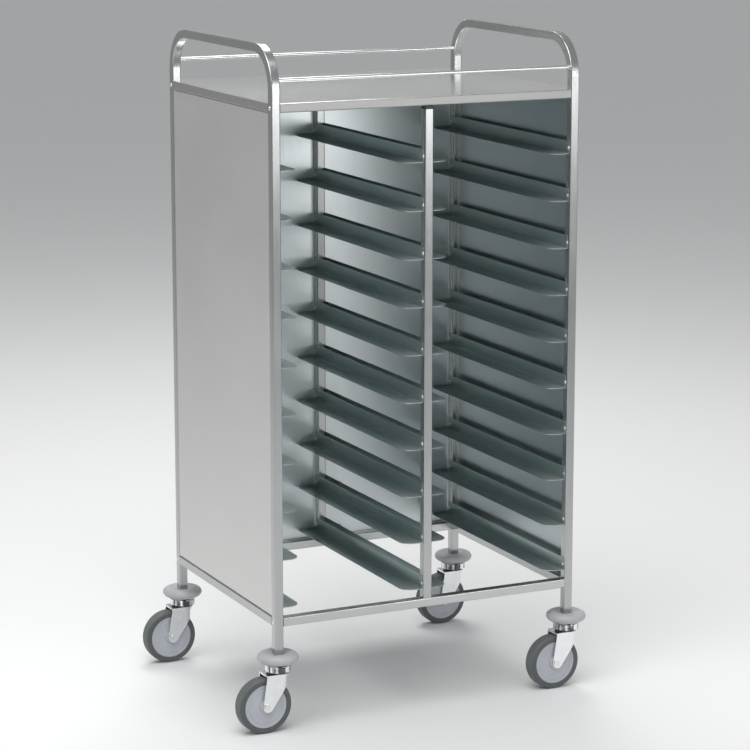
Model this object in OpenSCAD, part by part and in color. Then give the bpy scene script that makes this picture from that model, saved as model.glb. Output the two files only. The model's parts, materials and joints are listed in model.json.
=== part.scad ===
// Meal tray trolley in stainless square tube and sheet: two columns of tray places,
// closed sides and back, open front, four swivel casters under bumper discs.
// Millimetres, +Z up, the open front faces -Y. The origin lies on the floor, under the
// middle of the trolley's own box with its casters trailing towards -X.

/* [Tray places] */
// Clear width of a column, from guide to guide less their sheet (a tray is 325 wide)
column_w = 335; // [280:5:420]
// Number of levels in each column
levels = 10; // [6:1:10]
// Height from one ledge to the next
level_pitch = 104.5; // [80:0.5:130]
// Height of the lowest ledge above the bottom rails
first_ledge_h = 21; // [8:1:60]
// Height from the top ledge to the underside of the shelf's edge
top_space = 121; // [60:1:200]

/* [Frame tube] */
// Depth of the frame, over the front and rear legs
cart_depth = 575; // [450:5:700]
// Side of the square tube
tube = 20; // [18:1:28]
// Wall of the square tube
tube_wall = 1.5; // [1:0.1:2.5]
// Outer corner radius of the square tube
tube_round = 2.5; // [1:0.25:3]
// Length of leg below the bottom rails
leg_drop = 62; // [40:1:100]
// Height of the handle's top above the shelf
handle_rise = 120; // [110:1:180]
// Outer radius of the handle's two bends
handle_bend = 92; // [50:1:105]
// Length of the threaded plugs welded into the rail ends
rail_plug = 14; // [8:1:30]
// Height of the dark end cap between a middle post and the shelf
post_cap_h = 7.5; // [3:0.5:15]
// Depth of the cap's spigot in its post
cap_spigot = 12; // [6:1:30]

/* [Sheet parts] */
// Thickness of the shelf
shelf_sheet = 1.5; // [1:0.1:2.5]
// Height of the shelf's down-turned edge
shelf_edge_h = 19.5; // [15:0.5:30]
// Distance from the shelf's folded-in bottom to the legs' inner faces
edge_lap = 2; // [1:0.5:8]
// Thickness of the panels and guides
sheet = 1.2; // [0.8:0.1:2]
// Outer bend radius of the folded edges
bend_r = 3; // [2.5:0.5:4]
// Depth of the side panels' folded edges
side_fold = 9; // [6:0.5:14]
// Depth of the rear panels' folded edges
rear_fold = 5; // [4.5:0.25:5]
// Set-back of the panels from the outer faces of the tubes
panel_inset = 1; // [0:0.25:1.5]
// Seam left round each panel
panel_seam = 0.5; // [0.2:0.1:0.8]

/* [Tray guides] */
// Width of a ledge
ledge_w = 45; // [30:1:60]
// Height of a guide's upright above its ledge
upright_h = 28; // [15:1:45]
// Radius of a ledge's front corner
ledge_round = 28; // [2:0.5:29]
// Distance from the front of the legs to the guides' front ends
guide_front = 6; // [1:0.5:10]
// Distance from the guides' rear ends to the back of the legs
guide_back = 7.5; // [7.5:0.5:12]
// Height of the stop turned up at a ledge's rear end
stop_h = 5; // [3:0.5:15]
// Corner cut at the stop's free end
stop_cut = 2; // [1:0.5:3]

/* [Gallery and screws] */
// Diameter of the gallery rods
rod_d = 8; // [6:0.5:10]
// Height of the gallery rods above the shelf
rod_h = 47.5; // [30:0.5:70]
// Shank diameter of the dome head screws
screw_d = 5; // [4:0.5:8]
// Head diameter of the dome head screws
screw_head_d = 9; // [8.5:0.5:13]
// Head height of the dome head screws
screw_head_h = 2.5; // [1.5:0.25:4]
// Reach of a screw into the part behind the leg
screw_reach = 10; // [5:0.5:12]

/* [Casters] */
// Diameter of the wheels
wheel_d = 122; // [100:1:160]
// Width of the tyres
tyre_w = 32; // [24:1:40]
// Thickness of the tyres on the wheel cores
tyre_t = 12.5; // [9:0.5:18]
// Height of the tyre's rounded shoulder
shoulder_h = 5.5; // [2:0.5:8]
// Width of the tyre's rounded shoulder
shoulder_w = 7; // [3:0.5:10]
// Trail of the wheel's axle behind the swivel axis
trail = 35; // [25:1:45]
// Diameter of the axle bolt
axle_d = 8; // [6:0.5:12]
// Head diameter of the axle bolt and width of its nut across corners
axle_head_d = 13; // [12.5:0.5:17]
// Head height of the axle bolt
axle_head_h = 3; // [2:0.5:6]
// Height of the axle bolt's nut
nut_h = 5; // [3:0.5:8]
// Diameter of the wheel's hub boss
hub_d = 26; // [20:1:40]
// Depth of the dished wheel face below the core's rim
dish_depth = 1; // [0.5:0.25:3]
// Width of the wheel core's rim
core_rim_w = 6; // [3:0.5:10]
// Diameter of the ridge on the wheel face
ridge_d = 76; // [60:1:80]
// Height of the ridge on the wheel face
ridge_h = 0.8; // [0.2:0.1:1]
// Chamfer of the wheel core's edges and of the ridge's flanks
core_cut = 1; // [0.5:0.25:2]
// Thickness of the fork's pressed sheet
fork_sheet = 3; // [2:0.25:4]
// Gap between the tyre and each fork leg
fork_gap = 3; // [2:0.25:6]
// Thickness of the fork's crown
crown_t = 4; // [3:0.5:8]
// Gap between the tyre and the fork's crown
crown_gap = 4.5; // [3:0.5:16]
// Reach of the crown behind the swivel axis
crown_back = 34; // [24:1:44]
// Height of the skirt round the crown's front
skirt_h = 6; // [4:0.5:12]
// Reach of the fork legs in front of the swivel axis
leg_front = 11; // [6:0.5:16]
// Height of the straight front edge's lower end above the axle
leg_straight_h = 41; // [34:1:46]
// Radius of the fork legs' lower ends
leg_end_r = 12; // [10:0.5:18]
// Offset of the lower ends' centre in front of the axle
leg_end_x = 3.5; // [0:0.5:5]
// Diameter of the swivel cup
cup_d = 57; // [48:1:64]
// Height of the swivel cup, with the seal below it
cup_h = 21.2; // [14:0.1:30]
// Chamfer of the swivel cup's shoulder
cup_chamfer = 4; // [1:0.5:6]
// Height of the dark seal below the cup
seal_h = 4; // [2:0.5:6]
// Set-back of the seal from the cup's wall
seal_inset = 4; // [2:0.5:8]
// Diameter of the stem and kingpin
stem_d = 12; // [8:0.5:14]
// Length of the square plug in a leg
stem_plug = 45; // [20:1:80]
// Diameter of the kingpin's foot
foot_d = 22; // [18:1:28]
// Height of the kingpin's foot
foot_h = 3; // [2:0.5:4]

/* [Bumpers] */
// Diameter of a bumper disc
bumper_d = 90; // [70:1:120]
// Height of a bumper disc
bumper_h = 23; // [16:1:32]
// Depth of the dished seat on top of a bumper
seat_depth = 5; // [2:0.5:8]
// Width of the rounded rim, from its crest to the edge
rim_w = 16; // [10:1:24]

/* [Fits] */
// Clearance of a turning pin all round
turn_gap = 0.05; // [0.03:0.01:0.1]
// Clearance between a plug or spigot and its tube, and of the screws
plug_gap = 0.1; // [0.05:0.05:0.3]
// Gap between faces that turn past each other
face_gap = 0.3; // [0.2:0.05:0.6]

/* [Hidden] */
$fn = 96;
side_names = ["left", "right"];
corner_names = ["front_left", "front_right", "rear_left", "rear_right"];
corner_parts = ["stem", "bumper", "fork", "axle_bolt", "wheel_core", "tyre"];
function guide_name(side, i) = str(side, "_tray_guides_", i < 10 ? "0" : "", i);

eps = 1;                       // how far a cut runs past what it cuts
steel = [0.78, 0.78, 0.77];
sheet_grey = [0.70, 0.70, 0.69];
zinc = [0.88, 0.89, 0.90];
rubber_grey = [0.42, 0.44, 0.45];
core_grey = [0.66, 0.68, 0.71];
bumper_grey = [0.68, 0.69, 0.71];
cap_black = [0.15, 0.15, 0.15];

// Frame across
frame_w = 3*tube + 2*column_w;
post_x = tube + column_w;                      // left face of the middle posts
stem_in = tube/2;                              // swivel axis from the frame's outer faces
left_reach = max(bumper_d/2, trail + wheel_d/2) - stem_in;
right_reach = max(bumper_d/2, wheel_d/2 - trail) - stem_in;
frame_x = -(frame_w + right_reach - left_reach)/2;   // outer face of the left frame
frame_y = -cart_depth/2;                             // front face of the frame

// Casters, from the floor up
axle_z = wheel_d/2;
crown_z = wheel_d + crown_gap;                 // underside of the crown
crown_top = crown_z + crown_t;
cup_z = crown_top + face_gap;
bumper_z = cup_z + cup_h;
leg_z = bumper_z + bumper_h - seat_depth;      // lower ends of the legs
fork_in = tyre_w/2 + fork_gap;                 // inner faces of the fork legs
fork_out = fork_in + fork_sheet;
core_r = wheel_d/2 - tyre_t - turn_gap;
core_half = tyre_w/2 - 0.5;                    // half width of the wheel core's rim
bumper_seat_r = tube*0.75;                     // flat seat that takes the leg's corners

// Frame, from the legs up
rail_z = leg_z + leg_drop;                     // underside of the bottom rails
rail_top = rail_z + tube;
first_ledge = rail_top + first_ledge_h;
top_ledge = first_ledge + (levels - 1)*level_pitch;
shelf_z = top_ledge + top_space;               // underside of the shelf's edge
shelf_top = shelf_z + shelf_edge_h;
handle_top = shelf_top + handle_rise;
bend_z = handle_top - handle_bend;             // where the legs' straight part ends
screw_levels = [rail_z + tube/2, shelf_z + shelf_edge_h/2];

// Distance of a leg's centre line from the frame's front, at a height above the shelf
function leg_mid(h) = let (up = shelf_top + h - bend_z)
    up <= 0 ? tube/2 : handle_bend - sqrt(pow(handle_bend - tube/2, 2) - up*up);

// ---- Profiles ----

module round_rect(size, r) {
    translate([r, 0]) square([size[0] - 2*r, size[1]]);
    translate([0, r]) square([size[0], size[1] - 2*r]);
    for (x = [r, size[0] - r], y = [r, size[1] - r]) translate([x, y]) circle(r);
}

module tube_profile() {
    difference() {
        round_rect([tube, tube], tube_round);
        translate([tube_wall, tube_wall]) square(tube - 2*tube_wall);
    }
}

// A folded channel: web along X at the bottom, its two folds standing up along Y
module channel_profile(width, fold, t) {
    intersection() {
        square([width, fold]);
        difference() {
            round_rect([width, fold + 2*bend_r], bend_r);
            translate([t, t]) round_rect([width - 2*t, fold + 2*bend_r], bend_r - t);
        }
    }
}

// ---- Straight and folded stock ----

module tube_along_x(length) {
    rotate([90, 0, 90]) linear_extrude(length) tube_profile();
}

module tube_along_y(length) {
    translate([0, length, 0]) rotate([90, 0, 0]) linear_extrude(length) tube_profile();
}

module tube_along_z(length) {
    linear_extrude(length) tube_profile();
}

// A sheet panel with all four edges folded back: outer face on the XZ plane, folds along +Y
module folded_panel(width, height, fold) {
    translate([0, 0, bend_r]) linear_extrude(height - 2*bend_r) channel_profile(width, fold, sheet);
    for (up = [0, 1]) translate([width, 0, up*height]) mirror([0, 0, up])
        rotate([0, -90, 0]) linear_extrude(width) intersection() {
            channel_profile(4*bend_r, fold, sheet);
            square([bend_r, fold]);
        }
}

// ---- Frame ----

// One side frame: both legs and the handle are a single bent tube
module side_frame(right) {
    x = frame_x + (right ? frame_w - tube : 0);
    color(steel) difference() {
        translate([x, frame_y, 0]) {
            for (y = [0, cart_depth - tube]) translate([0, y, leg_z]) tube_along_z(bend_z - leg_z);
            for (rear = [0, 1])
                translate([0, rear ? cart_depth - handle_bend : handle_bend, bend_z])
                    rotate([90, 0, 90]) rotate([0, 0, rear ? 0 : 90]) rotate_extrude(angle = 90)
                        translate([handle_bend - tube, 0]) tube_profile();
            translate([0, handle_bend, handle_top - tube]) tube_along_y(cart_depth - 2*handle_bend);
        }
        for (y = [tube/2, cart_depth - tube/2], z = screw_levels)
            translate([x - eps, frame_y + y, z]) rotate([0, 90, 0])
                cylinder(d = screw_d + 2*plug_gap, h = tube + 2*eps);
    }
}

// Front or rear bottom rail, with a threaded plug in each end for the leg's screw
module cross_rail(y) {
    length = frame_w - 2*tube;
    color(steel) translate([frame_x + tube, y, rail_z]) difference() {
        union() {
            tube_along_x(length);
            for (x = [0, length - rail_plug]) translate([x, tube_wall, tube_wall])
                cube([rail_plug, tube - 2*tube_wall, tube - 2*tube_wall]);
        }
        for (x = [-eps, length - rail_plug - eps]) translate([x, tube/2, tube/2])
            rotate([0, 90, 0]) cylinder(d = screw_d + 2*plug_gap, h = rail_plug + 2*eps);
    }
}

module side_rail(x) {
    color(steel) translate([x, frame_y + tube, rail_z]) tube_along_y(cart_depth - 2*tube);
}

module middle_post(y) {
    length = shelf_z - post_cap_h - rail_top;
    spigot = tube - 2*tube_wall - 2*plug_gap;
    translate([frame_x + post_x, y, rail_top]) {
        color(steel) tube_along_z(length - plug_gap);
        color(cap_black) translate([0, 0, length]) {
            linear_extrude(post_cap_h) round_rect([tube, tube], tube_round);
            translate([(tube - spigot)/2, (tube - spigot)/2, -cap_spigot])
                cube([spigot, spigot, cap_spigot + eps]);
        }
    }
}

// ---- Shelf and gallery ----

module top_shelf() {
    span_x = frame_w - 2*tube;
    span_y = cart_depth - 2*tube;
    color(sheet_grey) translate([frame_x, frame_y, shelf_z]) {
        translate([tube, tube, shelf_edge_h - shelf_sheet]) cube([span_x, span_y, shelf_sheet]);
        for (rear = [0, 1]) translate([tube, rear*cart_depth, 0]) mirror([0, rear, 0]) {
            shelf_edge(span_x);
            for (x = [0, span_x - shelf_sheet]) translate([x, 0, 0]) edge_end();
        }
        for (right = [0, 1]) translate([right*frame_w, cart_depth - tube, 0]) mirror([right, 0, 0])
            rotate([0, 0, -90]) shelf_edge(span_y);
    }
}

// One edge of the shelf along X: top, down-turned edge and folded-in bottom
module shelf_edge(length) {
    rotate([90, 0, 90]) linear_extrude(length) intersection() {
        square([tube, shelf_edge_h]);
        difference() {
            round_rect([tube + 2*bend_r, shelf_edge_h], bend_r);
            translate([shelf_sheet, shelf_sheet])
                round_rect([tube + 2*bend_r, shelf_edge_h - 2*shelf_sheet], bend_r - shelf_sheet);
            translate([tube - edge_lap, -eps]) square([edge_lap + eps, shelf_sheet + 2*eps]);
        }
    }
}

// End plate of a folded edge, tapped for the leg's screw
module edge_end() {
    difference() {
        translate([0, shelf_sheet/2, shelf_sheet/2])
            cube([shelf_sheet, tube - shelf_sheet/2, shelf_edge_h - shelf_sheet]);
        translate([-eps, tube/2, shelf_edge_h/2]) rotate([0, 90, 0])
            cylinder(d = screw_d + 2*plug_gap, h = shelf_sheet + 2*eps);
    }
}

module gallery_rod(rear) {
    y = rear ? cart_depth - leg_mid(rod_h) : leg_mid(rod_h);
    color(steel) translate([frame_x + tube, frame_y + y, shelf_top + rod_h])
        rotate([0, 90, 0]) cylinder(d = rod_d, h = frame_w - 2*tube);
}

// ---- Panels ----

panel_z = rail_top + panel_seam;
panel_h = shelf_z - panel_seam - panel_z;

module side_panel(right) {
    width = cart_depth - 2*tube - 2*panel_seam;
    color(sheet_grey) translate([frame_x + (right ? frame_w : 0), frame_y, panel_z])
        mirror([right ? 1 : 0, 0, 0])
            translate([panel_inset, cart_depth - tube - panel_seam, 0]) rotate([0, 0, -90])
                folded_panel(width, panel_h, side_fold);
}

module rear_panel(right) {
    width = column_w - 2*panel_seam;
    color(sheet_grey)
        translate([frame_x + (right ? post_x + tube : tube) + panel_seam + width,
                   frame_y + cart_depth - panel_inset, panel_z])
            rotate([0, 0, 180]) folded_panel(width, panel_h, rear_fold);
}

// ---- Tray guides ----

// A guide against the face x = 0, its ledge reaching to +X and its ledge's top at z = 0
module tray_guide() {
    length = cart_depth - guide_front - guide_back;
    translate([0, guide_front, 0]) {
        translate([0, 0, -sheet]) linear_extrude(sheet) {
            square([ledge_w - ledge_round, length]);
            translate([0, ledge_round]) square([ledge_w, length - ledge_round]);
            intersection() {
                translate([ledge_w - ledge_round, ledge_round]) circle(ledge_round);
                square(ledge_w);
            }
        }
        translate([0, 0, -sheet]) cube([sheet, length, upright_h + sheet]);
        translate([0, length, 0]) rotate([90, 0, 0]) linear_extrude(sheet)
            polygon([[0, -sheet], [ledge_w, -sheet], [ledge_w, stop_h - stop_cut],
                     [ledge_w - stop_cut, stop_h], [0, stop_h]]);
    }
}

// The two guides that hold one tray
module guide_pair(right, level) {
    z = first_ledge + (level - 1)*level_pitch;
    color(sheet_grey) translate([frame_x + (right ? post_x + tube : tube), frame_y, z]) {
        tray_guide();
        translate([column_w, 0, 0]) mirror([1, 0, 0]) tray_guide();
    }
}

// ---- Screws ----

// Screw along X with its head outside the face x = 0
module dome_screw() {
    rotate([0, 90, 0]) rotate_extrude() polygon(concat(
        [[0, -tube - screw_reach], [screw_d/2, -tube - screw_reach], [screw_d/2, 0]],
        [for (a = [0:15:75]) [screw_head_d/2*cos(a), screw_head_h*sin(a)]],
        [[0, screw_head_h]]));
}

module dome_screws() {
    color(steel) for (right = [0, 1], y = [tube/2, cart_depth - tube/2], z = screw_levels)
        translate([frame_x + right*frame_w, frame_y + y, z]) mirror([1 - right, 0, 0]) dome_screw();
}

// ---- Casters, each drawn about its swivel axis with the floor at z = 0 ----

module at_corner(i) {
    x = i % 2 == 0 ? stem_in : frame_w - stem_in;
    y = i < 2 ? stem_in : cart_depth - stem_in;
    translate([frame_x + x, frame_y + y, 0]) children();
}

// Square plug, stem, swivel cup with its seal, and kingpin
module stem() {
    plug_side = tube - 2*tube_wall - 2*plug_gap;
    foot_top = crown_z - face_gap;
    wall = cup_d/2;
    seal = wall - seal_inset;
    color(zinc) {
        translate([-plug_side/2, -plug_side/2, leg_z]) cube([plug_side, plug_side, stem_plug]);
        translate([0, 0, foot_top - foot_h]) cylinder(d = stem_d, h = leg_z + eps - foot_top + foot_h);
        translate([0, 0, foot_top - foot_h]) cylinder(d = foot_d, h = foot_h);
        rotate_extrude() polygon([[0, cup_z], [seal, cup_z], [seal, cup_z + seal_h], [wall, cup_z + seal_h],
                                  [wall, bumper_z - cup_chamfer], [wall - cup_chamfer, bumper_z],
                                  [0, bumper_z]]);
    }
}

// Round disc, highest in a ring round its dished seat and widest below that ring
module bumper() {
    crest = bumper_d/2 - rim_w;
    half = bumper_h/2;
    color(bumper_grey) rotate_extrude() translate([0, bumper_z]) polygon(concat(
        [[stem_d/2 + plug_gap, 0]],
        [for (a = [-90:10:90]) [crest + rim_w*cos(a), half + half*sin(a)]],
        [[crest - seat_depth/2, bumper_h - seat_depth/4], [bumper_seat_r, bumper_h - seat_depth],
         [stem_d/2 + plug_gap, bumper_h - seat_depth]]));
}

// Outline of the pressed fork from above: round in front, open behind
module fork_plan(half) {
    circle(half);
    translate([-trail - 2*leg_end_r, -half]) square([trail + 2*leg_end_r, 2*half]);
}

// Touch point of the tangent from p to a circle; turn is 1 or -1
function touch(p, centre, r, turn) = let (v = p - centre, a = atan2(v[1], v[0]) + turn*acos(r/norm(v)))
    centre + r*[cos(a), sin(a)];

// Outline of a fork leg from the side
module fork_side() {
    end = [leg_end_x - trail, axle_z];
    back = [-crown_back, crown_z];
    front = [leg_front, axle_z + leg_straight_h];
    polygon([[-crown_back, crown_top + eps], back, touch(back, end, leg_end_r, 1), end,
             touch(front, end, leg_end_r, -1), front, [leg_front, crown_z - skirt_h],
             [fork_out + eps, crown_z - skirt_h + fork_out - leg_front], [fork_out + eps, crown_top + eps]]);
    translate(end) circle(leg_end_r);
}

module fork() {
    color(zinc) difference() {
        union() {
            intersection() {
                translate([0, 0, crown_z]) linear_extrude(crown_t) fork_plan(fork_out);
                translate([-crown_back, -fork_out, crown_z]) cube([crown_back + fork_out, 2*fork_out, crown_t]);
            }
            intersection() {
                linear_extrude(crown_top) difference() {
                    fork_plan(fork_out);
                    fork_plan(fork_in);
                    translate([-trail - 4*leg_end_r, -fork_in]) square([4*leg_end_r, 2*fork_in]);
                }
                rotate([90, 0, 0]) translate([0, 0, -fork_out - eps])
                    linear_extrude(2*fork_out + 2*eps) fork_side();
            }
        }
        translate([0, 0, crown_z - eps]) cylinder(d = stem_d + 2*turn_gap, h = crown_t + 2*eps);
        translate([-trail, 0, axle_z]) rotate([90, 0, 0])
            cylinder(d = axle_d + 2*plug_gap, h = 2*fork_out + 2*eps, center = true);
    }
}

// Bolt with its head at the front and its nut at the back
module axle_bolt() {
    color(zinc) translate([-trail, 0, axle_z]) rotate([90, 0, 0]) {
        translate([0, 0, -fork_out - nut_h]) cylinder(d = axle_d, h = 2*fork_out + nut_h + eps);
        translate([0, 0, fork_out]) cylinder(d = axle_head_d, h = axle_head_h);
        translate([0, 0, -fork_out - nut_h]) difference() {
            cylinder(d = axle_head_d, h = nut_h, $fn = 6);
            translate([0, 0, -eps]) cylinder(d = axle_d + 2*turn_gap, h = nut_h + 2*eps);
        }
    }
}

// Moulded wheel core, dished between its boss and its rim
module wheel_core() {
    rim_r = core_r - core_rim_w;
    face = core_half - dish_depth;
    half = [[axle_d/2 + turn_gap, fork_in - face_gap], [hub_d/2, fork_in - face_gap],
            [hub_d/2 + core_cut, face], [ridge_d/2 - core_cut, face], [ridge_d/2, face + ridge_h],
            [ridge_d/2 + core_cut, face], [rim_r, face], [rim_r + dish_depth, core_half],
            [core_r - core_cut, core_half], [core_r, core_half - core_cut]];
    last = len(half) - 1;
    color(core_grey) translate([-trail, 0, axle_z]) rotate([90, 0, 0]) rotate_extrude()
        polygon(concat(half, [for (i = [last:-1:0]) [half[i][0], -half[i][1]]]));
}

module tyre() {
    inner = core_r + turn_gap;
    half = concat([[inner, tyre_w/2]],
        [for (a = [90:-15:0]) [wheel_d/2 - shoulder_h + shoulder_h*cos(a),
                               tyre_w/2 - shoulder_w + shoulder_w*sin(a)]]);
    last = len(half) - 1;
    color(rubber_grey) translate([-trail, 0, axle_z]) rotate([90, 0, 0]) rotate_extrude()
        polygon(concat(half, [for (i = [last:-1:0]) [half[i][0], -half[i][1]]]));
}

// ---- The trolley ----

side_frame(false);  // left_frame
side_frame(true);  // right_frame
cross_rail(frame_y);  // front_bottom_rail
cross_rail(frame_y + cart_depth - tube);  // rear_bottom_rail
side_rail(frame_x);  // left_bottom_rail
side_rail(frame_x + frame_w - tube);  // right_bottom_rail
middle_post(frame_y);  // front_middle_post
middle_post(frame_y + cart_depth - tube);  // rear_middle_post
top_shelf();
gallery_rod(false);  // front_gallery_rod
gallery_rod(true);  // rear_gallery_rod
side_panel(false);  // left_side_panel
side_panel(true);  // right_side_panel
rear_panel(false);  // left_rear_panel
rear_panel(true);  // right_rear_panel
for (s = [0, 1], i = [1:levels])
    guide_pair(s == 1, i);
for (i = [0:3]) {
    at_corner(i) stem();
    at_corner(i) bumper();
    at_corner(i) fork();
    at_corner(i) axle_bolt();
    at_corner(i) wheel_core();
    at_corner(i) tyre();
}
dome_screws();
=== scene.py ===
"""Looks of the meal tray trolley: its finishes, softened edges, welds, studio and camera.

Everything stands in the CAD frame, in metres: +Z up, the open front faces -Y.
"""
import json
import math

import bmesh
import bpy
from mathutils import Matrix, Vector


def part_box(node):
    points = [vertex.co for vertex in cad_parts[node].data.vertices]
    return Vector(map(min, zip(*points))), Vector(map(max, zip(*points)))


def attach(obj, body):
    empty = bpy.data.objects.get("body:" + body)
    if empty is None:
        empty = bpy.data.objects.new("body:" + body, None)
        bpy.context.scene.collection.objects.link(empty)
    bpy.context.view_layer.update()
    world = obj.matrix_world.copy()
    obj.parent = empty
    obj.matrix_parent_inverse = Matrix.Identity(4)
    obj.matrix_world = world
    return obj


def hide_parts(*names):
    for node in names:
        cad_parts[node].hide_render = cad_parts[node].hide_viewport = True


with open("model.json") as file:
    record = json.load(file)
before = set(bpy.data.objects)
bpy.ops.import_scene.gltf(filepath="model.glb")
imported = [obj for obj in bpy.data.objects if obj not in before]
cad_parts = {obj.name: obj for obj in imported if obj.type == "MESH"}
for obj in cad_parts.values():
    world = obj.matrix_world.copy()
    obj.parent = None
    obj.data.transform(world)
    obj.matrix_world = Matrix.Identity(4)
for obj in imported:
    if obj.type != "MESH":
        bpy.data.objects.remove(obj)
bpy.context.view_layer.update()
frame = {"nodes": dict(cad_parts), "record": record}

BODY_OF = {node: body
           for body, nodes in frame["record"]["behaviour"]["bodies"].items()
           for node in nodes}
CORNERS = ("front_left", "front_right", "rear_left", "rear_right")
LEVELS = 10     # of tray guides in each column

# ------------------------------------------------------------------ camera
CAMERA_PLACE = Vector((-2.5366, -5.3537, 1.9309))
CAMERA_YAW = math.radians(25.660)
CAMERA_PITCH = math.radians(10.882)
CAMERA_LENS = 128.84
SENSOR_WIDTH = 36
FARTHEST_SEEN = 200
CAMERA_SHIFT = -0.0534


def camera():
    """The photograph's viewing angle."""
    ahead = Vector((math.sin(CAMERA_YAW) * math.cos(CAMERA_PITCH),
                    math.cos(CAMERA_YAW) * math.cos(CAMERA_PITCH),
                    -math.sin(CAMERA_PITCH)))
    right = Vector((math.cos(CAMERA_YAW), -math.sin(CAMERA_YAW), 0))
    turn = Matrix((right, right.cross(ahead), -ahead)).transposed().to_4x4()
    data = bpy.data.cameras.new("camera")
    data.lens, data.sensor_width, data.shift_y = CAMERA_LENS, SENSOR_WIDTH, CAMERA_SHIFT
    data.clip_end = FARTHEST_SEEN
    seen = bpy.data.objects.new("camera", data)
    seen.matrix_world = Matrix.Translation(CAMERA_PLACE) @ turn
    bpy.context.scene.collection.objects.link(seen)
    bpy.context.scene.camera = seen


# --------------------------------------------------------- finishes: tools
class Value:
    """A socket in a finish. Each sum on it adds a Math node."""

    def __init__(self, finish, socket):
        self.finish, self.socket = finish, socket

    def _sum(self, operation, other, turned=False):
        pair = (other, self) if turned else (self, other)
        return self.finish.add("ShaderNodeMath", {"operation": operation}, dict(enumerate(pair)))

    def __add__(self, other):
        return self._sum("ADD", other)

    def __sub__(self, other):
        return self._sum("SUBTRACT", other)

    def __rsub__(self, other):
        return self._sum("SUBTRACT", other, True)

    def __mul__(self, other):
        return self._sum("MULTIPLY", other)

    def __pow__(self, other):
        return self._sum("POWER", other)

    __radd__ = __add__

    def least(self, other):
        return self._sum("MINIMUM", other)

    def most(self, other):
        return self._sum("MAXIMUM", other)

    def between(self, low, high):
        """0 below low, 1 above high, and a straight ramp from one to the other."""
        return ((self - low) * (1 / (high - low))).most(0).least(1)


class Finish:
    """A material with one main shader."""

    def __init__(self, name, **plain):
        self.material = bpy.data.materials.new(name)
        self.material.use_nodes = True
        self.tree = self.material.node_tree
        self.tree.nodes.clear()
        self.shader = self.tree.nodes.new("ShaderNodeBsdfPrincipled")
        output = self.tree.nodes.new("ShaderNodeOutputMaterial")
        self.tree.links.new(self.shader.outputs[0], output.inputs[0])
        for socket, value in plain.items():
            self.shader.inputs[socket.replace("_", " ")].default_value = value

    def add(self, kind, settings=None, inputs=None, output=0):
        """A node of any kind: its settings first, then the values or links of its sockets."""
        node = self.tree.nodes.new(kind)
        for name, value in (settings or {}).items():
            setattr(node, name, value)
        for name, value in (inputs or {}).items():
            self.join(node.inputs[name], value)
        return Value(self, node.outputs[output])

    def join(self, socket, value):
        if isinstance(value, Value):
            self.tree.links.new(value.socket, socket)
        else:
            socket.default_value = value

    def set(self, **varied):
        """What changes over the surface."""
        for socket, value in varied.items():
            self.join(self.shader.inputs[socket.replace("_", " ")], value)
        return self

    def place(self, attribute=None):
        """The point on the object, or relative to its own pivot where the piece keeps that."""
        if attribute:
            return self.add("ShaderNodeAttribute", {"attribute_name": attribute}, output="Vector")
        return self.add("ShaderNodeTexCoord", output="Object")

    def scaled(self, place, scale):
        return self.add("ShaderNodeMapping", {}, {"Vector": place, "Scale": scale})

    def axis(self, vector, output):
        return self.add("ShaderNodeSeparateXYZ", {}, {0: vector}, output)

    def facing(self, output):
        """One part of the direction that the surface faces."""
        return self.axis(self.add("ShaderNodeNewGeometry", output="Normal"), output)

    def noise(self, place, scale=1.0, detail=2.0, rough=0.5):
        return self.add("ShaderNodeTexNoise", {"noise_dimensions": "3D"},
                        {"Vector": place, "Scale": scale, "Detail": detail, "Roughness": rough},
                        "Fac") - 0.5

    def mix(self, factor, first, second):
        """From the first colour to the second."""
        return self.add("ShaderNodeMix", {"data_type": "RGBA", "clamp_factor": True},
                        {0: factor, 6: colour(first), 7: colour(second)}, 2)

    def choose(self, factor, first, second):
        """From the first point to the second."""
        return self.add("ShaderNodeMix", {"data_type": "VECTOR", "clamp_factor": True},
                        {0: factor, 4: first, 5: second}, 1)

    def bump(self, height, strength, distance):
        return self.add("ShaderNodeBump", {},
                        {"Height": height, "Strength": strength, "Distance": distance})


def colour(value):
    return value if isinstance(value, Value) else (*value, 1)


def tone(grey, share):
    return tuple(min(c * share, 1) for c in grey)


# ---------------------------------------------------------------- finishes
ACROSS = 800    # grain lines in a metre, across the run of the brushing
ALONG = 7       # and along it
RUNS = {"X": (ALONG, ACROSS, ACROSS), "Y": (ACROSS, ALONG, ACROSS), "Z": (ACROSS, ACROSS, ALONG)}
GRAIN_TURN = (1.385, 1.44)      # heights between which a handle's grain turns along its grip
LEDGE_WORN_AND_LIT_FRONT = (-0.275, -0.12)   # depths between which a ledge is duller and paler than the rest: partly wear, partly painted light on the front tips
GUIDE_PAINTED_SHADE_DEPTHS = (-0.2, 0.25)      # depths between which a guide gets darker: painted shade towards the back
TREAD = (0.0580, 0.0605)        # distances from the axle between which the tread begins


def steel(name, grey, roughness, run, grain=0.5, cloud=0.6, depth=0.6):
    """Brushed or rolled stainless steel, its grain along one run."""
    finish = Finish(name, Metallic=1.0)
    place = finish.place()
    if run == "handle":  # up the legs and along the grip
        over = finish.axis(place, "Z").between(*GRAIN_TURN)
        lines = finish.choose(over, finish.scaled(place, RUNS["Z"]), finish.scaled(place, RUNS["Y"]))
    else:
        lines = finish.scaled(place, RUNS[run])
    fine = finish.noise(lines, 1, 2, 0.6)
    broad = finish.noise(place, 4.5, 3, 0.55)
    marks = finish.noise(place, 26, 2, 0.5)
    shade = 0.5 + fine * grain + broad * cloud + marks * (cloud * 0.25)
    finish.set(Base_Color=finish.mix(shade, tone(grey, 0.86), tone(grey, 1.14)),
               Roughness=roughness + fine * 0.10 + broad * 0.12 + marks * 0.05,
               Normal=finish.bump(fine, depth, 0.0002))
    return finish.material


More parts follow.
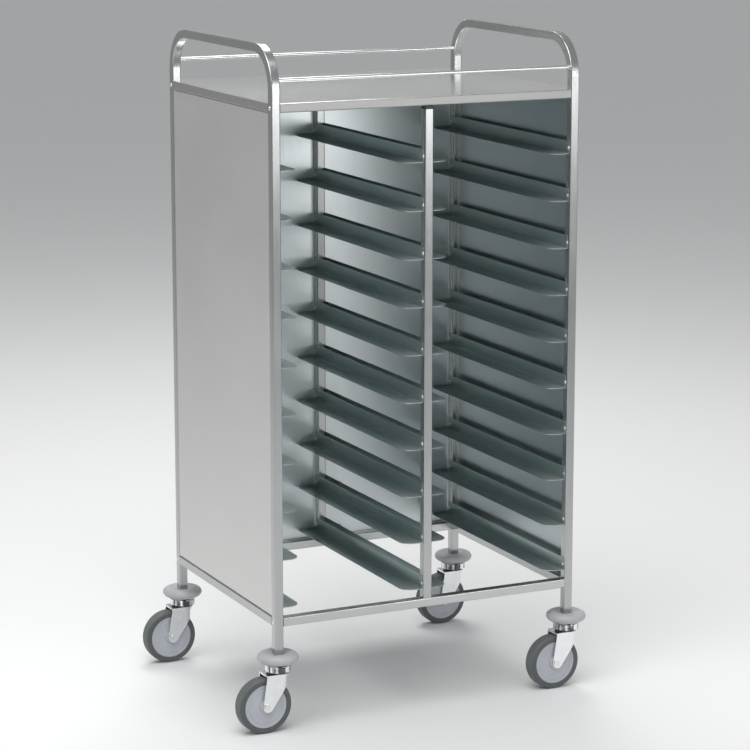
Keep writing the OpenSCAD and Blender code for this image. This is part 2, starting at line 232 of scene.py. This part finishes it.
def shelf_steel(name, top, lip):
    """Brushed sheet: a smoother top painted lighter and lips painted darker, as light and shade fall
    on them.
    """
    finish = Finish(name, Metallic=1.0)
    place = finish.place()
    fine = finish.noise(finish.scaled(place, RUNS["X"]), 1, 2, 0.6)
    broad = finish.noise(place, 4.5, 3, 0.55)
    upward = finish.facing("Z").between(0.5, 0.9)
    shade = 0.5 + fine * 0.35 + broad * 0.4
    # painted light and shade: faces that look up take the lighter top colour, the lips the darker
    # one
    finish.set(Base_Color=finish.mix(upward, finish.mix(shade, tone(lip, 0.86), tone(lip, 1.14)),
                                     finish.mix(shade, tone(top, 0.9), tone(top, 1.1))),
               Roughness=0.48 - upward * 0.31 + fine * 0.10 + broad * 0.10,
               Normal=finish.bump(fine * (upward * 0.75 + 0.25), 0.6, 0.0002))
    return finish.material


def guide_steel(name, grey, roughness):
    """Mill finish sheet with painted shade that darkens it towards the back, ledges rubbed in
    streaks, and a duller, paler front that is partly wear and partly painted light on the front
    tips.
    """
    finish = Finish(name)
    place = finish.place()
    fine = finish.noise(finish.scaled(place, RUNS["Y"]), 1, 2, 0.6)
    broad = finish.noise(place, 6, 3, 0.55)
    streaks = finish.noise(finish.scaled(place, (420, 2.2, 60)), 1, 3, 0.65)
    upward = finish.facing("Z").between(0.6, 0.9)
    rubbed = upward * streaks.between(0.02, 0.16)
    depth = finish.axis(place, "Y")
    # the duller, paler, less metallic front: partly wear, partly painted light where light falls on
    # the front tips
    front = 1 - depth.between(*LEDGE_WORN_AND_LIT_FRONT)
    dull_wear_and_painted_light = front ** 1.6 * (0.3 + upward * 0.7) * (0.8 + streaks * 1.2)
    # painted shade: the sheet gets darker towards the back
    shade = 0.72 + fine * 0.4 + broad * 0.5 - depth.between(*GUIDE_PAINTED_SHADE_DEPTHS) * 0.7
    sheet = finish.mix(shade, tone(grey, 0.64), tone(grey, 1.12))
    worn = finish.mix(rubbed * 0.5, sheet, tone(grey, 1.25))
    finish.set(Base_Color=finish.mix(dull_wear_and_painted_light, worn, (0.48, 0.495, 0.49)),
               Metallic=1 - dull_wear_and_painted_light * 0.32,
               Roughness=roughness + fine * 0.1 + broad * 0.14 - rubbed * 0.12 + dull_wear_and_painted_light * 0.1,
               Normal=finish.bump(fine, 0.06, 0.0002))
    return finish.material


def plated(name, grey, roughness):
    """Bright zinc plate, slightly clouded."""
    finish = Finish(name, Metallic=1.0)
    place = finish.place()
    cloud = finish.noise(place, 60, 3, 0.6)
    fine = finish.noise(place, 900, 2, 0.5)
    finish.set(Base_Color=finish.mix(0.5 + cloud * 0.9, tone(grey, 0.88), tone(grey, 1.1)),
               Roughness=roughness + cloud * 0.16 + fine * 0.05,
               Normal=finish.bump(fine, 0.05, 0.0001))
    return finish.material


def turned(name, dark, light, roughness):
    """Polished steel with painted reflections: bright and dark streaks that run up the wall, one
    after another, set by the way the surface faces.
    """
    finish = Finish(name, Metallic=1.0)
    way = finish.add("ShaderNodeNewGeometry", output="Normal")
    streaks = finish.noise(finish.scaled(way, (2.6, 2.6, 1.2)), 1, 1, 0.5)
    cloud = finish.noise(finish.place(), 90, 2, 0.5)
    finish.set(Base_Color=finish.mix((streaks + cloud * 0.3).between(-0.10, 0.08), dark, light),
               Roughness=roughness + cloud * 0.08)
    return finish.material


def moulded(name, grey, roughness, grain=0.10):
    """Moulded plastic with a fine grain, slightly uneven in tone."""
    finish = Finish(name, Metallic=0.0)
    place = finish.place()
    cloud = finish.noise(place, 35, 3, 0.55)
    fine = finish.noise(place, 1400, 1, 0.5)
    finish.set(Base_Color=finish.mix(0.5 + cloud * 0.8 + fine * 0.15, tone(grey, 0.9),
                                     tone(grey, 1.1)),
               Roughness=roughness + cloud * 0.14 + fine * 0.06,
               Normal=finish.bump(fine, grain, 0.0002))
    return finish.material


def rubber(name, grey, roughness):
    """Tyre rubber: dusty and rubbed on the tread, cleaner on its shoulders."""
    finish = Finish(name, Metallic=0.0)
    place = finish.place("from_axle")
    flat = finish.add("ShaderNodeVectorMath", {"operation": "MULTIPLY"},
                      {0: place, 1: (1, 0, 1)})
    radius = finish.add("ShaderNodeVectorMath", {"operation": "LENGTH"}, {0: flat}, "Value")
    cloud = finish.noise(place, 40, 4, 0.6)
    fine = finish.noise(place, 1100, 1, 0.5)
    tread = radius.between(*TREAD) * (0.75 + cloud * 1.4)
    body = finish.mix(0.5 + cloud * 0.9, tone(grey, 0.88), tone(grey, 1.12))
    finish.set(Base_Color=finish.mix(tread * 0.3, body, (0.30, 0.30, 0.29)),
               Roughness=roughness + cloud * 0.12 + tread * 0.12,
               Normal=finish.bump(fine, 0.18, 0.0002))
    return finish.material


TUBE = (0.45, 0.46, 0.46)
RAIL = (0.53, 0.54, 0.54)
# the shelf's top colour is painted light and its lips' colour painted shade
SHELF_TOP_PAINTED_LIGHT = (0.80, 0.80, 0.79)
SHELF_LIP_PAINTED_SHADE = (0.43, 0.43, 0.425)
PANEL = (0.70, 0.705, 0.69)
# the panels' inner faces: painted shade with a teal painted reflection inside the sides, a cool
# painted reflection tint on the rear panels' front faces
PANEL_INSIDE_PAINTED_SHADE = (0.58, 0.64, 0.655)
PANEL_BACK_PAINTED_TINT = (0.66, 0.705, 0.72)
# the guides' teal tint is a painted reflection of dark greenish surroundings
GUIDE = (0.50, 0.59, 0.59)
FINISHES = {
    "leg": steel("satin_leg", TUBE, 0.22, "handle"),
    "rail_x": steel("satin_rail_across", RAIL, 0.22, "X"),
    "rail_y": steel("satin_rail_deep", TUBE, 0.22, "Y"),
    "post": steel("satin_post", TUBE, 0.22, "Z"),
    "shelf": shelf_steel("satin_shelf", SHELF_TOP_PAINTED_LIGHT, SHELF_LIP_PAINTED_SHADE),
    "panel": steel("matt_panel", PANEL, 0.46, "Z", 0.25, 0.35, 0.5),
    "panel_inside_painted_shade": steel("matt_panel_inside", PANEL_INSIDE_PAINTED_SHADE, 0.34, "Z", 0.25, 0.35, 0.5),
    "panel_back_painted_tint": steel("matt_panel_back", PANEL_BACK_PAINTED_TINT, 0.34, "Z", 0.25, 0.35, 0.5),
    "guide": guide_steel("mill_guide", GUIDE, 0.36),
    "rod": plated("polished_rod", (0.72, 0.73, 0.73), 0.18),
    "screw": plated("bright_screw", (0.80, 0.80, 0.80), 0.20),
    "zinc": plated("zinc_plate", (0.86, 0.88, 0.89), 0.25),
    # the cup's bright and dark streaks are painted reflections
    "cup": turned("polished_cup", (0.10, 0.11, 0.12), (0.90, 0.92, 0.93), 0.10),
    # a near-black ring painted as the shade under each swivel cup
    "seal": moulded("seal_rubber", (0.035, 0.037, 0.04), 0.5),
    "spot": plated("weld_spot", (0.93, 0.94, 0.93), 0.42),
    "bumper": moulded("bumper_plastic", (0.435, 0.445, 0.46), 0.42),
    "core": moulded("core_plastic", (0.43, 0.45, 0.49), 0.40, 0.08),
    # black for the top of each middle post, just under the shelf
    "cap": moulded("cap_plastic", (0.03, 0.03, 0.03), 0.45),
    "tyre": rubber("tyre_rubber", (0.085, 0.096, 0.098), 0.55),
}


# ------------------------------------------------------------------ pieces
def settled(piece):
    """The piece with its modifiers applied."""
    depsgraph = bpy.context.evaluated_depsgraph_get()
    mesh = bpy.data.meshes.new_from_object(piece.evaluated_get(depsgraph))
    piece.modifiers.clear()
    piece.data = mesh
    return piece


def dressed(node, finish, smooth=32, soften=0.0, steps=2, pivot=None, named="own_place"):
    """A node's own shape with its facets smoothed and its edges softened, in its finish."""
    mesh = frame["nodes"][node].data.copy()
    mesh.materials.clear()
    shape = bmesh.new()
    shape.from_mesh(mesh)
    bmesh.ops.remove_doubles(shape, verts=shape.verts, dist=1e-6)
    bmesh.ops.dissolve_limit(shape, angle_limit=math.radians(0.4), verts=shape.verts,
                             edges=shape.edges)
    for edge in shape.edges:
        edge.smooth = len(edge.link_faces) == 2 and edge.calc_face_angle(0) < math.radians(smooth)
    for face in shape.faces:
        face.smooth = True
    shape.to_mesh(mesh)
    shape.free()
    piece = bpy.data.objects.new(node + "_dressed", mesh)
    bpy.context.scene.collection.objects.link(piece)
    if soften:
        bevel = piece.modifiers.new("soften", "BEVEL")
        bevel.width, bevel.segments = soften, steps
        bevel.limit_method, bevel.angle_limit = "ANGLE", math.radians(smooth + 5)
        bevel.harden_normals = False
    weight = piece.modifiers.new("weight", "WEIGHTED_NORMAL")
    weight.mode, weight.weight, weight.keep_sharp = "FACE_AREA", 100, True
    settled(piece)
    mesh = piece.data
    mesh.materials.clear()
    mesh.materials.append(FINISHES[finish])
    if pivot is not None:
        kept = mesh.attributes.new(named, "FLOAT_VECTOR", "POINT")
        for vertex, value in zip(mesh.vertices, kept.data):
            value.vector = vertex.co - pivot
    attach(piece, BODY_OF[node])
    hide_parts(node)
    return piece


def refinished(piece, finish, chosen):
    """Gives the faces that chosen picks out a finish of their own."""
    mesh = piece.data
    mesh.materials.append(FINISHES[finish])
    for face in mesh.polygons:
        if chosen(face):
            face.material_index = len(mesh.materials) - 1


def frame_pieces():
    cap_height = 0.0077
    for side, inward in (("left", Vector((1, 0, 0))), ("right", Vector((-1, 0, 0)))):
        dressed(f"{side}_frame", "leg")
        dressed(f"{side}_bottom_rail", "rail_y")
        panel = dressed(f"{side}_side_panel", "panel", soften=0.0003)
        # the side panels' inner faces take a darker teal colour: painted shade and painted
        # reflection
        refinished(panel, "panel_inside_painted_shade", lambda face: face.normal.dot(inward) > 0.5)
        panel = dressed(f"{side}_rear_panel", "panel", soften=0.0003)
        # the rear panels' front faces take a cooler colour: a painted reflection tint
        refinished(panel, "panel_back_painted_tint", lambda face: face.normal.y < -0.5)
        for level in range(1, LEVELS + 1):
            dressed(f"{side}_tray_guides_{level:02d}", "guide", soften=0.0003)
    for end in ("front", "rear"):
        dressed(f"{end}_bottom_rail", "rail_x")
        dressed(f"{end}_gallery_rod", "rod")
        post = dressed(f"{end}_middle_post", "post")
        # the top of each middle post, up to the shelf, is black
        cap_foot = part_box(f"{end}_middle_post")[1].z - cap_height
        refinished(post, "cap", lambda face: face.center.z > cap_foot)
    dressed("top_shelf", "shelf", soften=0.0006)
    dressed("dome_screws", "screw")


def weld_pattern():
    """Nodes that set a column of flat weld spots above each point, at every level of guides."""
    tree = bpy.data.node_groups.new("weld_pattern", "GeometryNodeTree")
    face = tree.interface
    face.new_socket("Geometry", in_out="INPUT", socket_type="NodeSocketGeometry")
    for name, kind in (("Levels", "NodeSocketInt"), ("Pitch", "NodeSocketFloat"),
                       ("Radius", "NodeSocketFloat"), ("Rise", "NodeSocketFloat"),
                       ("Seed", "NodeSocketInt"), ("Finish", "NodeSocketMaterial")):
        face.new_socket(name, in_out="INPUT", socket_type=kind)
    face.new_socket("Geometry", in_out="OUTPUT", socket_type="NodeSocketGeometry")

    def add(kind, **inputs):
        node = tree.nodes.new(kind)
        for name, value in inputs.items():
            socket = node.inputs[name.replace("_", " ")]
            if isinstance(value, bpy.types.NodeSocket):
                tree.links.new(value, socket)
            else:
                socket.default_value = value
        return node

    given = tree.nodes.new("NodeGroupInput").outputs
    step = add("ShaderNodeCombineXYZ", Z=given["Pitch"])
    column = add("GeometryNodeMeshLine", Count=given["Levels"], Offset=step.outputs[0])
    columns = add("GeometryNodeInstanceOnPoints", Points=given["Geometry"],
                  Instance=column.outputs[0])
    places = add("GeometryNodeRealizeInstances", Geometry=columns.outputs[0])
    ball = add("GeometryNodeMeshUVSphere", Segments=12, Rings=6, Radius=1.0)
    varied = tree.nodes.new("FunctionNodeRandomValue")
    varied.data_type = "FLOAT"
    varied.inputs[2].default_value, varied.inputs[3].default_value = 0.85, 1.15
    tree.links.new(given["Seed"], varied.inputs["Seed"])
    width = add("ShaderNodeMath")
    width.operation = "MULTIPLY"
    tree.links.new(varied.outputs[1], width.inputs[0])
    tree.links.new(given["Radius"], width.inputs[1])
    size = add("ShaderNodeCombineXYZ", X=given["Rise"], Y=width.outputs[0], Z=width.outputs[0])
    spots = add("GeometryNodeInstanceOnPoints", Points=places.outputs[0], Instance=ball.outputs[0],
                Scale=size.outputs[0])
    whole = add("GeometryNodeRealizeInstances", Geometry=spots.outputs[0])
    coated = add("GeometryNodeSetMaterial", Geometry=whole.outputs[0], Material=given["Finish"])
    tree.links.new(coated.outputs[0], add("NodeGroupOutput").inputs[0])
    return tree


def weld_spots():
    """The welds that hold each guide to its leg or post, at both ends of its upright."""
    above_ledge, from_end = 0.0135, 0.0035
    first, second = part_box("left_tray_guides_01"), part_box("left_tray_guides_02")
    points = []
    for side in ("left", "right"):
        low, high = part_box(f"{side}_tray_guides_01")
        for x in (low.x, high.x):
            for y in (low.y + from_end, high.y - from_end):
                points.append((x, y, low.z + above_ledge))
    mesh = bpy.data.meshes.new("weld_spots")
    mesh.from_pydata(points, [], [])
    mesh.materials.append(FINISHES["spot"])
    piece = bpy.data.objects.new("weld_spots", mesh)
    bpy.context.scene.collection.objects.link(piece)
    pattern = piece.modifiers.new("pattern", "NODES")
    pattern.node_group = weld_pattern()
    given = {"Levels": LEVELS, "Pitch": second[0].z - first[0].z, "Radius": 0.0044, "Rise": 0.0028,
             "Seed": 7, "Finish": FINISHES["spot"]}
    for item in pattern.node_group.interface.items_tree:
        if item.in_out == "INPUT" and item.name in given:
            pattern[item.identifier] = given[item.name]
    settled(piece)
    for face in piece.data.polygons:
        face.use_smooth = True
    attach(piece, "cart")


def caster_pieces():
    pin_radius, seal_radius, seal_height, seam = 0.0065, 0.0246, 0.0042, 0.0002
    for corner in CORNERS:
        low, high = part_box(f"{corner}_tyre")
        axle = (low + high) / 2
        stem = dressed(f"{corner}_stem", "zinc", soften=0.0004)
        low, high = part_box(f"{corner}_bumper")
        pin = (low + high) / 2
        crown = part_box(f"{corner}_fork")[1].z

        def from_pin(face):
            return (face.center - pin).to_2d().length

        def outside(face):
            return crown < face.center.z < low.z + seam and from_pin(face) > pin_radius
        refinished(stem, "cup", outside)
        # a near-black ring at the foot of the cup: painted shade in the gap above the fork's crown
        refinished(stem, "seal", lambda face: outside(face) and from_pin(face) < seal_radius
                   and face.center.z < crown + seal_height)
        dressed(f"{corner}_bumper", "bumper", smooth=40)
        dressed(f"{corner}_fork", "zinc", soften=0.0009, steps=3)
        dressed(f"{corner}_axle_bolt", "screw", soften=0.0004)
        dressed(f"{corner}_wheel_core", "core", smooth=25)
        dressed(f"{corner}_tyre", "tyre", smooth=40, pivot=axle, named="from_axle")


# ------------------------------------------------------------------ studio
FLOOR_RADIUS = 60
WORLD_GREY = (0.41, 0.415, 0.42, 1)
LAMPS = (   # name, place, what it points at, size, power, spread in degrees
    ("key", (-1.2, -1.4, 3.8), (0, 0, 0.5), (3.2, 3.2), 106, 180),
    ("front", (1.8, -4.5, 1.45), (0, -0.2, 1.0), (2.2, 1.3), 6.2, 75),
    ("back", (0.6, 2.2, 4.2), (0, 0.3, 0), (2.0, 2.0), 75, 180))


def studio():
    scene = bpy.context.scene
    scene.view_settings.view_transform = "Standard"
    world = bpy.data.worlds.new("studio")
    scene.world = world
    world.use_nodes = True
    nodes, links = world.node_tree.nodes, world.node_tree.links
    nodes.clear()
    output, light = nodes.new("ShaderNodeOutputWorld"), nodes.new("ShaderNodeBackground")
    light.inputs["Color"].default_value = WORLD_GREY
    links.new(light.outputs[0], output.inputs["Surface"])

    floor = bpy.data.meshes.new("floor")
    shape = bmesh.new()
    bmesh.ops.create_circle(shape, cap_ends=True, segments=96, radius=FLOOR_RADIUS)
    shape.to_mesh(floor)
    shape.free()
    ground = bpy.data.objects.new("floor", floor)
    scene.collection.objects.link(ground)
    finish = Finish("pale_floor", Metallic=0.0, Roughness=0.7)
    cloud = finish.noise(finish.place(), 0.8, 2, 0.5)
    finish.set(Base_Color=finish.mix(0.5 + cloud * 0.6, (0.85, 0.85, 0.85), (0.88, 0.88, 0.88)))
    floor.materials.append(finish.material)

    for name, place, aim, size, power, spread in LAMPS:
        data = bpy.data.lights.new(name, "AREA")
        data.shape, data.size, data.size_y, data.energy = "RECTANGLE", size[0], size[1], power
        data.spread = math.radians(spread)
        lamp = bpy.data.objects.new(name, data)
        lamp.location = place
        lamp.rotation_euler = (Vector(aim) - Vector(place)).to_track_quat("-Z", "Y").to_euler()
        scene.collection.objects.link(lamp)


camera()
studio()
frame_pieces()
weld_spots()
caster_pieces()
